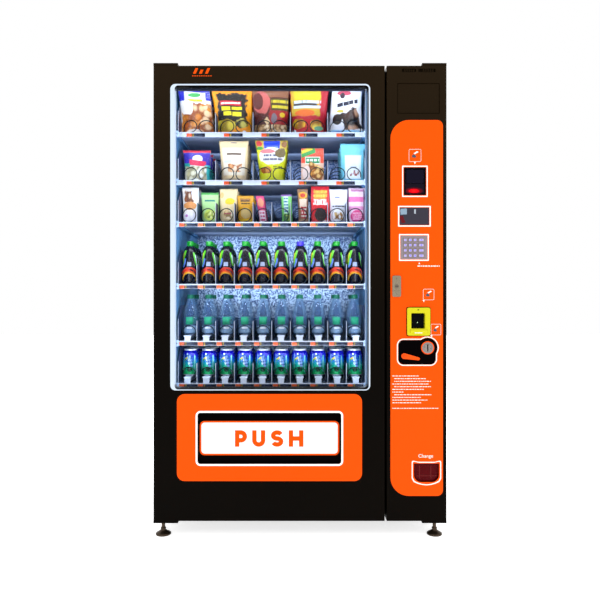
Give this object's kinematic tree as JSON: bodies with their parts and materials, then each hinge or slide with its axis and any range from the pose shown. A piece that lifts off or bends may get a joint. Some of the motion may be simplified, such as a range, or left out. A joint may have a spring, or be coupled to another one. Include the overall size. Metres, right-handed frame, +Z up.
{
  "type": "snack vending machine",
  "caption": "Glass-front spiral vending machine: trays with turning spirals, hinged main door and payment door, push flap, keypad, note and coin units, change cup.",
  "frame": {"origin": "on the floor under the middle of the machine's box", "axes": "+Z up, +X to the customer's right, -Y towards the customer"},
  "size_m": [1.2, 0.8, 1.94],
  "materials": {
    "black_paint": "fine texture powder coat, satin",
    "galvanised_sheet": "bare sheet",
    "tray_sheet": "white baked enamel, satin",
    "orange_skin": "printed film, semi gloss",
    "trim_white": "clear edged strip, gloss",
    "window_glass": "clear, polished",
    "black_plastic": "moulded, fine grain",
    "yellow_plastic": "moulded, satin",
    "scanner_lens": "dark, polished",
    "display_lens": "dark grey, polished",
    "key_metal": "brushed",
    "lock_metal": "nickel plate, satin",
    "orange_plastic": "moulded, satin",
    "flap_red": "tinted, polished",
    "spiral_wire": "black dipped wire, semi gloss",
    "foot_plastic": "moulded, matt"
  },
  "bodies": {
    "cabinet": {"cabinet_base": "black_paint", "cabinet_top": "black_paint", "cabinet_left_side": "black_paint", "cabinet_right_side": "black_paint", "cabinet_back": "galvanised_sheet", "partition_wall": "black_paint", "delivery_bin": "black_plastic", "cooling_unit": "galvanised_sheet", "top_hinge_plate_left": "black_paint", "top_hinge_plate_right": "black_paint", "bottom_hinge_plate_left": "black_paint", "bottom_hinge_plate_right": "black_paint", "tray_1": "tray_sheet", "tray_2": "tray_sheet", "tray_3": "tray_sheet", "tray_4": "tray_sheet", "tray_5": "tray_sheet", "tray_6": "tray_sheet"},
    "main_door": {"main_door_frame": "black_paint", "window_glass": "window_glass", "window_trim": "trim_white", "delivery_surround": "orange_skin"},
    "delivery_flap": {"delivery_flap": "black_plastic"},
    "payment_door": {"payment_door_panel": "black_paint", "payment_fascia": "orange_skin", "scanner_window": "scanner_lens", "display": "display_lens", "keypad_plate": "key_metal", "bill_acceptor": "yellow_plastic", "coin_mechanism": "black_plastic", "change_cup": "black_plastic"},
    "coin_return_lever": {"coin_return_lever": "orange_plastic"},
    "change_flap": {"change_flap": "flap_red"},
    "lock_handle": {"lock_handle": "lock_metal"},
    "spiral_1_left": {"spiral_1_left": "spiral_wire"},
    "spiral_1_right": {"spiral_1_right": "spiral_wire"},
    "spiral_3": {"spiral_3": "spiral_wire"},
    "spiral_4": {"spiral_4": "spiral_wire"},
    "spiral_5": {"spiral_5": "spiral_wire"},
    "spiral_6": {"spiral_6": "spiral_wire"},
    "key_1_1": {"key_1_1": "key_metal"},
    "key_1_2": {"key_1_2": "key_metal"},
    "key_1_3": {"key_1_3": "key_metal"},
    "key_1_4": {"key_1_4": "key_metal"},
    "key_2_1": {"key_2_1": "key_metal"},
    "key_2_2": {"key_2_2": "key_metal"},
    "key_2_3": {"key_2_3": "key_metal"},
    "key_2_4": {"key_2_4": "key_metal"},
    "key_3_1": {"key_3_1": "key_metal"},
    "key_3_2": {"key_3_2": "key_metal"},
    "key_3_3": {"key_3_3": "key_metal"},
    "key_3_4": {"key_3_4": "key_metal"},
    "key_4_1": {"key_4_1": "key_metal"},
    "key_4_2": {"key_4_2": "key_metal"},
    "key_4_3": {"key_4_3": "key_metal"},
    "key_4_4": {"key_4_4": "key_metal"},
    "front_left_foot": {"front_left_foot": "foot_plastic"},
    "front_right_foot": {"front_right_foot": "foot_plastic"},
    "rear_left_foot": {"rear_left_foot": "foot_plastic"},
    "rear_right_foot": {"rear_right_foot": "foot_plastic"}
  },
  "joints": [
    {"name": "main_door_hinge", "type": "hinge", "parent": "cabinet", "child": "main_door", "pos_m": [-0.588, -0.355, 0.068], "axis": [0, 0, -1], "range_deg": [0, 110]},
    {"name": "payment_door_hinge", "type": "hinge", "parent": "cabinet", "child": "payment_door", "pos_m": [0.588, -0.355, 0.068], "axis": [0, 0, 1], "range_deg": [0, 110]},
    {"name": "delivery_flap_hinge", "type": "hinge", "parent": "main_door", "child": "delivery_flap", "pos_m": [-0.12475, -0.3663, 0.501], "axis": [1, 0, 0], "range_deg": [0, 65]},
    {"name": "change_flap_hinge", "type": "hinge", "parent": "payment_door", "child": "change_flap", "pos_m": [0.5155, -0.379, 0.298], "axis": [1, 0, 0], "range_deg": [0, 60]},
    {"name": "coin_return_lever_pivot", "type": "hinge", "parent": "payment_door", "child": "coin_return_lever", "pos_m": [0.4235, -0.39, 0.742], "axis": [0, 1, 0], "range_deg": [0, 25], "stiffness_Nm_per_rad": 0.5, "springref_deg": -5.73},
    {"name": "lock_handle_turn", "type": "hinge", "parent": "payment_door", "child": "lock_handle", "pos_m": [0.3935, -0.3885, 1.026], "axis": [0, 1, 0], "range_deg": [0, 90]},
    {"name": "spiral_1_left_turn", "type": "hinge", "parent": "cabinet", "child": "spiral_1_left", "pos_m": [-0.1595, -0.2195, 1.7305], "axis": [0, 1, 0], "continuous": true},
    {"name": "spiral_1_right_turn", "type": "hinge", "parent": "cabinet", "child": "spiral_1_right", "pos_m": [-0.0865, -0.2195, 1.7305], "axis": [0, 1, 0], "continuous": true},
    {"name": "spiral_3_turn", "type": "hinge", "parent": "cabinet", "child": "spiral_3", "pos_m": [-0.1636, -0.2195, 1.341], "axis": [0, 1, 0], "continuous": true},
    {"name": "spiral_4_turn", "type": "hinge", "parent": "cabinet", "child": "spiral_4", "pos_m": [-0.1636, -0.2195, 1.072], "axis": [0, 1, 0], "continuous": true},
    {"name": "spiral_5_turn", "type": "hinge", "parent": "cabinet", "child": "spiral_5", "pos_m": [-0.1636, -0.2195, 0.8255], "axis": [0, 1, 0], "continuous": true},
    {"name": "spiral_6_turn", "type": "hinge", "parent": "cabinet", "child": "spiral_6", "pos_m": [-0.1636, -0.2195, 0.6415], "axis": [0, 1, 0], "continuous": true},
    {"name": "key_1_1_press", "type": "slide", "parent": "payment_door", "child": "key_1_1", "axis": [0, 1, 0], "range_m": [0, 0.0012], "stiffness_N_per_m": 300, "springref_m": -0.0004},
    {"name": "key_1_2_press", "type": "slide", "parent": "payment_door", "child": "key_1_2", "axis": [0, 1, 0], "range_m": [0, 0.0012], "stiffness_N_per_m": 300, "springref_m": -0.0004},
    {"name": "key_1_3_press", "type": "slide", "parent": "payment_door", "child": "key_1_3", "axis": [0, 1, 0], "range_m": [0, 0.0012], "stiffness_N_per_m": 300, "springref_m": -0.0004},
    {"name": "key_1_4_press", "type": "slide", "parent": "payment_door", "child": "key_1_4", "axis": [0, 1, 0], "range_m": [0, 0.0012], "stiffness_N_per_m": 300, "springref_m": -0.0004},
    {"name": "key_2_1_press", "type": "slide", "parent": "payment_door", "child": "key_2_1", "axis": [0, 1, 0], "range_m": [0, 0.0012], "stiffness_N_per_m": 300, "springref_m": -0.0004},
    {"name": "key_2_2_press", "type": "slide", "parent": "payment_door", "child": "key_2_2", "axis": [0, 1, 0], "range_m": [0, 0.0012], "stiffness_N_per_m": 300, "springref_m": -0.0004},
    {"name": "key_2_3_press", "type": "slide", "parent": "payment_door", "child": "key_2_3", "axis": [0, 1, 0], "range_m": [0, 0.0012], "stiffness_N_per_m": 300, "springref_m": -0.0004},
    {"name": "key_2_4_press", "type": "slide", "parent": "payment_door", "child": "key_2_4", "axis": [0, 1, 0], "range_m": [0, 0.0012], "stiffness_N_per_m": 300, "springref_m": -0.0004},
    {"name": "key_3_1_press", "type": "slide", "parent": "payment_door", "child": "key_3_1", "axis": [0, 1, 0], "range_m": [0, 0.0012], "stiffness_N_per_m": 300, "springref_m": -0.0004},
    {"name": "key_3_2_press", "type": "slide", "parent": "payment_door", "child": "key_3_2", "axis": [0, 1, 0], "range_m": [0, 0.0012], "stiffness_N_per_m": 300, "springref_m": -0.0004},
    {"name": "key_3_3_press", "type": "slide", "parent": "payment_door", "child": "key_3_3", "axis": [0, 1, 0], "range_m": [0, 0.0012], "stiffness_N_per_m": 300, "springref_m": -0.0004},
    {"name": "key_3_4_press", "type": "slide", "parent": "payment_door", "child": "key_3_4", "axis": [0, 1, 0], "range_m": [0, 0.0012], "stiffness_N_per_m": 300, "springref_m": -0.0004},
    {"name": "key_4_1_press", "type": "slide", "parent": "payment_door", "child": "key_4_1", "axis": [0, 1, 0], "range_m": [0, 0.0012], "stiffness_N_per_m": 300, "springref_m": -0.0004},
    {"name": "key_4_2_press", "type": "slide", "parent": "payment_door", "child": "key_4_2", "axis": [0, 1, 0], "range_m": [0, 0.0012], "stiffness_N_per_m": 300, "springref_m": -0.0004},
    {"name": "key_4_3_press", "type": "slide", "parent": "payment_door", "child": "key_4_3", "axis": [0, 1, 0], "range_m": [0, 0.0012], "stiffness_N_per_m": 300, "springref_m": -0.0004},
    {"name": "key_4_4_press", "type": "slide", "parent": "payment_door", "child": "key_4_4", "axis": [0, 1, 0], "range_m": [0, 0.0012], "stiffness_N_per_m": 300, "springref_m": -0.0004},
    {"name": "front_left_foot_turn", "type": "hinge", "parent": "cabinet", "child": "front_left_foot", "pos_m": [-0.566, -0.345, 0], "axis": [0, 0, 1], "continuous": true},
    {"name": "front_right_foot_turn", "type": "hinge", "parent": "cabinet", "child": "front_right_foot", "pos_m": [0.557, -0.345, 0], "axis": [0, 0, 1], "continuous": true},
    {"name": "rear_left_foot_turn", "type": "hinge", "parent": "cabinet", "child": "rear_left_foot", "pos_m": [-0.566, 0.34, 0], "axis": [0, 0, 1], "continuous": true},
    {"name": "rear_right_foot_turn", "type": "hinge", "parent": "cabinet", "child": "rear_right_foot", "pos_m": [0.557, 0.34, 0], "axis": [0, 0, 1], "continuous": true}
  ],
  "couplings": [
    {"joint": "spiral_1_right_turn", "follows": "spiral_1_left_turn", "ratio": -1}
  ]
}
